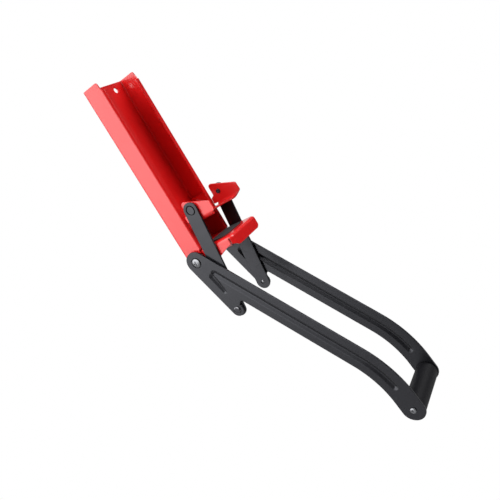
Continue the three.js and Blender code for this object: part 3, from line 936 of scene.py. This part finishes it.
def into_groove(uv):
    """How far each point lies inside the groove's outline: the long groove and its tapered branch."""
    curve = arc(CURVE_CENTRE, ARM_CURVE, curve_turn(ARM_LEAN), curve_turn(GROOVE_END_LEAN), math.radians(1.5))
    main = GROOVE_HALF - distance_to(np.array([on_bar(GROOVE_START, 0), *curve]), uv)
    start, end = on_bar(*BRANCH_START), on_bar(*BRANCH_END)
    share = np.clip((uv - start) @ (end - start) / ((end - start) @ (end - start)), 0, 1)
    half = BRANCH_START_HALF + share * (BRANCH_END_HALF - BRANCH_START_HALF)
    branch = half - np.linalg.norm(uv - start - share[:, None] * (end - start), axis=1)
    return np.maximum(main, branch)


def groove_relief(uv):
    """A V-shaped channel with rounded rims, pressed along the bar, with a short branch near the pivot."""
    ease = GROOVE_ROUNDING
    share = np.clip(into_groove(uv) / GROOVE_WALL, 0, 1)
    slope = np.where(share < ease, share ** 2 / (2 * ease), share - ease / 2)
    foot = 1 - ease - (1 - share) ** 2 / (2 * ease)
    return -GROOVE_DEEP * np.where(share > 1 - ease, foot, slope) / (1 - ease)


def recess_relief(uv):
    """The round seat of the pivot bolt's head."""
    distance = np.linalg.norm(uv - PIVOT, axis=1)
    return -BOLT_RECESS_DEEP * smooth((BOLT_RECESS + 0.2 - distance) / 0.6)


def make_arm(name, side):
    near, far = reach(f"arm_{name}")
    front_face = min(side * near, side * far)
    downs = np.arange(GROOVE_START - 8, 300, GROOVE_MESH)
    backs = np.arange(-24, 40, GROOVE_MESH)
    fine = np.array([on_bar(down, back) for down in downs for back in backs])
    inside = list(fine[into_groove(fine) > -GROOVE_MESH])
    for step in (0.35, 0.15, -0.05, -0.25, -0.45):
        inside += circle(PIVOT, BOLT_RECESS + step, 64)
    loops = [
        tidy_loop(arm_outline(), True),
        tidy_loop(circle(PIVOT, BOLT_SHANK + BORE_CLEAR), False),
        tidy_loop(circle(TAB_PIN, RIVET_SHANK + CLEAR), False),
        tidy_loop(circle(GRIP_CENTRE, ARM_HOLE, 32), False),
    ]
    if side < 0:
        front, back = (lambda uv: groove_relief(uv) + recess_relief(uv)), None
    else:
        front, back = groove_relief, (lambda uv: -recess_relief(uv))
    shell = sheet_shell(loops, across_x(front_face, -1), far - near, 0.5, inside, front, back)
    piece(f"handle_arm_{name}", [shell], BLACK, "handle", "black_paint", f"arm_{name}")


def make_link(name, side):
    near, far = reach(f"link_{name}")
    facing = heading(TAB_PIN - RAM_PIN)
    quarter = math.pi / 2
    outline = [
        *arc(RAM_PIN, LINK_HALF, facing + quarter, facing + 3 * quarter),
        *arc(TAB_PIN, LINK_HALF, facing - quarter, facing + quarter),
    ]

    def sink(uv):
        distance = np.linalg.norm(uv - RAM_PIN, axis=1)
        return -RIVET_SINK * smooth((RIVET_HEAD + 1.6 - distance) / 1.3)

    inside = []
    for radius in RIVET_HEAD + np.linspace(0.1, 1.7, 7):
        inside += circle(RAM_PIN, radius, 64)
    loops = [
        tidy_loop(outline, True),
        tidy_loop(circle(RAM_PIN, RIVET_SHANK + CLEAR), False),
        tidy_loop(circle(TAB_PIN, RIVET_SHANK + CLEAR), False),
    ]
    shell = sheet_shell(loops, across_x(side * far, side), far - near, 0.5, inside, sink)
    piece(f"link_bar_{name}", [shell], BLACK, f"{name}_link", "black_paint", f"link_{name}")


# ---------------------------------------------------------------- fasteners
def turned(side, stations, centre, count=48):
    """Lathe shell from stations (distance from the middle, radius, corner radius)."""
    points = rounded([(side * x, r, *rest) for x, r, *rest in stations])
    return lathe_shell([(p[0], max(p[1], 0.0)) for p in points], centre, count)


def screw_head(side, centre, radius, seat, height, cross):
    """A crowned head with a cross recess."""
    bar_long, bar_wide = cross
    crown = height * 0.38

    def relief(uv):
        at = uv - centre
        far = np.linalg.norm(at, axis=1) / radius
        dome = -crown * far ** 2.4
        across = np.minimum(
            np.maximum(np.abs(at[:, 0]) - bar_long, np.abs(at[:, 1]) - bar_wide),
            np.maximum(np.abs(at[:, 1]) - bar_long, np.abs(at[:, 0]) - bar_wide),
        )
        return dome - height * 0.55 * smooth(-across / 0.45 + 0.35)

    steps = np.arange(-radius, radius, radius / 26)
    inside = grid(centre[0] + steps, centre[1] + steps)
    inside = inside[np.linalg.norm(inside - centre, axis=1) < radius * 0.93]
    place = across_x(side * (seat + height), side)
    loops = [tidy_loop(circle(centre, radius, 64), True)]
    return sheet_shell(loops, place, height, 0.35, inside, relief, steps=2)


def shank(side, centre, radius, start, end):
    profile = [(start, 0), (start, radius, 0.4), (end, radius, 0.4), (end, 0)]
    return turned(side, profile, centre, 32)


def make_pivot_bolt(name, side):
    near, far = reach(f"pivot_bolt_{name}")
    seat = far - BOLT_HEAD_TALL
    head = screw_head(side, PIVOT, BOLT_HEAD, seat, BOLT_HEAD_TALL, BOLT_CROSS)
    shells = [head, shank(side, PIVOT, BOLT_SHANK, near, seat + 0.5)]
    piece(f"bolt_{name}", shells, ZINC, "wall_frame", "zinc_plate", f"pivot_bolt_{name}")


def make_nut(name, side):
    near, far = reach(f"pivot_nut_{name}")
    hexagon = [(*(PIVOT + NUT_RADIUS * unit(math.radians(60 * k))), 0.5) for k in range(6)]

    def chamfer(uv):
        distance = np.linalg.norm(uv - PIVOT, axis=1)
        return -0.55 * np.clip(distance - NUT_RADIUS * math.cos(math.pi / 6), 0, None)

    loops = [
        tidy_loop(rounded(hexagon), True, step=0.8),
        tidy_loop(circle(PIVOT, BOLT_SHANK + CLEAR), False),
    ]
    inside = [p for r in (6.4, 6.6, 7.0) for p in circle(PIVOT, r, 60)]
    shell = sheet_shell(loops, across_x(side * near, -side), far - near, 0.25, inside, chamfer, steps=2)
    piece(f"nut_{name}", [shell], ZINC, "wall_frame", "zinc_plate", f"pivot_nut_{name}")


def make_washer(name, side):
    near, far = reach(f"pivot_washer_{name}")
    loops = [
        tidy_loop(circle(PIVOT, WASHER_RADIUS, 64), True),
        tidy_loop(circle(PIVOT, BOLT_SHANK + CLEAR), False),
    ]
    shell = sheet_shell(loops, across_x(side * far, side), far - near, 0.15, steps=2)
    piece(f"washer_{name}", [shell], ZINC, "wall_frame", "zinc_plate", f"pivot_washer_{name}")


def make_ram_rivet(name, side):
    near, far = reach(f"ram_rivet_{name}")
    neck = far - RIVET_SINK + CLEAR
    ear_inside = RAM_WIDE - SHEET - CLEAR
    profile = [
        (near + 1.2, 0),
        (near + 1.2, 1.2),
        (near, 1.5, 0.3),
        (near, RIVET_TAIL - 0.3, 0.6),
        (ear_inside, RIVET_TAIL, 0.2),
        (ear_inside, RIVET_SHANK),
        (neck, RIVET_SHANK),
        (neck, RIVET_HEAD, 0.15),
        (far, RIVET_HEAD, 0.35),
        (far, 0),
    ]
    piece(f"rivet_{name}", [turned(side, profile, RAM_PIN)], DARK_STEEL, "ram_slide", "dark_steel",
          f"ram_rivet_{name}")


def make_tab_rivet(name, side):
    near, far = reach(f"tab_rivet_{name}")
    under = far - TAB_HEAD_TALL
    profile = [
        (near + 0.9, 0),
        (near + 0.9, 1.0, 0.3),
        (near, 1.6, 0.3),
        (near, RIVET_SHANK, 0.3),
        (under, RIVET_SHANK),
        (under, TAB_HEAD, 0.3),
        (under + 0.7, TAB_HEAD, 0.6),
        (far, 3.4, 2),
        (far, 0),
    ]
    piece(f"tab_rivet_head_{name}", [turned(side, profile, TAB_PIN)], RIVET_STEEL, "handle", "dark_steel",
          f"tab_rivet_{name}")


def make_link_pin(name, side):
    near, far = reach(f"link_pin_{name}")
    profile = [
        (near, 0),
        (near, 1.0, 0.5),
        (near + 0.5, 2.0, 0.4),
        (near + 0.9, RIVET_SHANK, 0.2),
        (far, RIVET_SHANK, 0.3),
        (far, 0),
    ]
    shell = turned(side, profile, TAB_PIN)
    piece(f"link_rivet_{name}", [shell], ZINC, f"{name}_link", "dark_steel", f"link_pin_{name}")


# ---------------------------------------------------------------- grip
def make_grip():
    low, high = box_mm("grip_sleeve")
    end, radius = high[0], (high[2] - low[2]) / 2
    tube = rounded([
        (-end, GRIP_BORE, 0.4),
        (end, GRIP_BORE, 0.4),
        (end, radius, 1.3),
        (-end, radius, 1.3),
    ])
    shell = lathe_shell(tube[::-1], GRIP_CENTRE, 72)
    piece("grip_tube", [shell], GRIP, "handle", "grip_plastic", "grip_sleeve")


def make_grip_core():
    """A rod with a blind screw hole in each end."""
    low, high = box_mm("grip_core")
    end, radius, hole = high[0], (high[2] - low[2]) / 2, GRIP_HOLE
    hole_end = end - GRIP_HOLE_DEEP
    rod = rounded([
        (-hole_end, 0),
        (-hole_end, hole),
        (-end, hole, 0.3),
        (-end, radius, 0.5),
        (end, radius, 0.5),
        (end, hole, 0.3),
        (hole_end, hole),
        (hole_end, 0),
    ])
    piece("grip_rod", [lathe_shell(rod, GRIP_CENTRE)], ZINC, "handle", "zinc_plate", "grip_core")


def make_grip_screw(name, side):
    near, far = reach(f"grip_screw_{name}")
    seat = far - GRIP_SCREW_HEAD_TALL
    head = screw_head(side, GRIP_CENTRE, GRIP_SCREW_HEAD, seat, GRIP_SCREW_HEAD_TALL, GRIP_SCREW_CROSS)
    shells = [head, shank(side, GRIP_CENTRE, GRIP_SCREW_SHANK, near, seat + 0.4)]
    piece(f"screw_{name}", shells, ZINC, "handle", "zinc_plate", f"grip_screw_{name}")


make_channel()
make_ram()
make_anvil()
make_pad()
make_grip()
make_grip_core()
for name, side in SIDES.items():
    make_arm(name, side)
    make_link(name, side)
    make_pivot_bolt(name, side)
    make_nut(name, side)
    make_washer(name, side)
    make_ram_rivet(name, side)
    make_tab_rivet(name, side)
    make_link_pin(name, side)
    make_grip_screw(name, side)


# ---------------------------------------------------------------- camera
CAMERA_AZIMUTH = math.radians(-53.76)
CAMERA_ELEVATION = math.radians(9.85)
CAMERA_ROLL = math.radians(-31.02)
CAMERA_PLACE = Vector((-0.60993, -0.51583, 0.12318 + FOOT / MM))
CAMERA_LENS = 42.63  # mm
CAMERA_SENSOR = 36.0  # mm


def make_camera():
    camera = bpy.data.objects.new("camera", bpy.data.cameras.new("camera"))
    camera.data.lens = CAMERA_LENS
    camera.data.sensor_width = CAMERA_SENSOR
    camera.data.clip_start = 0.01
    flat = math.cos(CAMERA_ELEVATION)
    back = Vector((
        math.sin(CAMERA_AZIMUTH) * flat,
        -math.cos(CAMERA_AZIMUTH) * flat,
        math.sin(CAMERA_ELEVATION),
    ))
    right = Vector((0, 0, 1)).cross(back).normalized()
    up = back.cross(right)
    c, s = math.cos(CAMERA_ROLL), math.sin(CAMERA_ROLL)
    right, up = right * c + up * s, up * c - right * s
    axes = Matrix((right, up, back)).transposed().to_4x4()
    camera.matrix_world = Matrix.Translation(CAMERA_PLACE) @ axes
    bpy.context.scene.collection.objects.link(camera)
    bpy.context.scene.camera = camera


make_camera()


# ---------------------------------------------------------------- floor and light
WHITE = (1, 1, 1)
FLOOR_HALF = 0.8  # metres
FLOOR_DROP = 0.12  # metres below the object's lowest point


def seen_white(material, shader):
    """Plain white where it is seen directly. It lights the object with its own shader as before."""
    light_path = material.node_tree.nodes.new("ShaderNodeLightPath")
    glow = node(material, "ShaderNodeEmission", Color=(*WHITE, 1), Strength=1.0)
    mix = node(material, "ShaderNodeMixShader", Fac=light_path.outputs["Is Camera Ray"])
    material.node_tree.links.new(shader, mix.inputs[1])
    material.node_tree.links.new(glow.outputs["Emission"], mix.inputs[2])
    return mix.outputs["Shader"]


def make_floor():
    half = FLOOR_HALF
    level = cad_bounds[0][2] - FLOOR_DROP
    mesh = bpy.data.meshes.new("floor")
    corners = [(-half, -half, level), (half, -half, level), (half, half, level), (-half, half, level)]
    mesh.from_pydata(corners, [], [(0, 1, 2, 3)])
    material, shader = new_material("floor", (0.3, 0.3, 0.3), 0.6)
    output = material.node_tree.nodes["Material Output"]
    surface = seen_white(material, shader.outputs["BSDF"])
    material.node_tree.links.new(surface, output.inputs["Surface"])
    mesh.materials.append(material)
    floor = bpy.data.objects.new("floor", mesh)
    bpy.context.scene.collection.objects.link(floor)


def soft_box(world, towards, inner, outer, strength):
    """A round patch of light in the sky: full inside the angle inner, gone at the angle outer."""
    direction = world.node_tree.nodes.new("ShaderNodeTexCoord").outputs["Generated"]
    dot = node(world, "ShaderNodeVectorMath")
    dot.operation = "DOT_PRODUCT"
    world.node_tree.links.new(direction, dot.inputs[0])
    dot.inputs[1].default_value = Vector(towards).normalized()
    patch = ramp(world, dot.outputs["Value"], math.cos(math.radians(outer)), math.cos(math.radians(inner)))
    return times(world, patch, strength)


AMBIENT = 0.045
SOFT_BOXES = [
    # direction it lies in, inner angle and outer angle in degrees, strength
    ((-0.76, 0.50, 0.42), 24, 50, 3.2),  # large, at the left, a little behind the object
    ((-0.62, 0.05, 0.78), 16, 38, 1.6),  # above at the left
    ((0.27, -0.69, 0.67), 14, 33, 5.6),  # above in front, a little to the right
    ((0.79, 0.52, 0.33), 10, 30, 0.7),  # low behind at the right, for the rims
]


def make_sky():
    world = bpy.data.worlds.new("studio")
    world.use_nodes = True
    background = world.node_tree.nodes["Background"]
    total = AMBIENT
    for box in SOFT_BOXES:
        total = worked_out(world, "ADD", total, soft_box(world, *box))
    world.node_tree.links.new(total, background.inputs["Strength"])
    background.inputs["Color"].default_value = (*WHITE, 1)
    output = world.node_tree.nodes["World Output"]
    surface = seen_white(world, background.outputs["Background"])
    world.node_tree.links.new(surface, output.inputs["Surface"])
    bpy.context.scene.world = world


make_floor()
make_sky()
bpy.context.scene.view_settings.view_transform = "Standard"
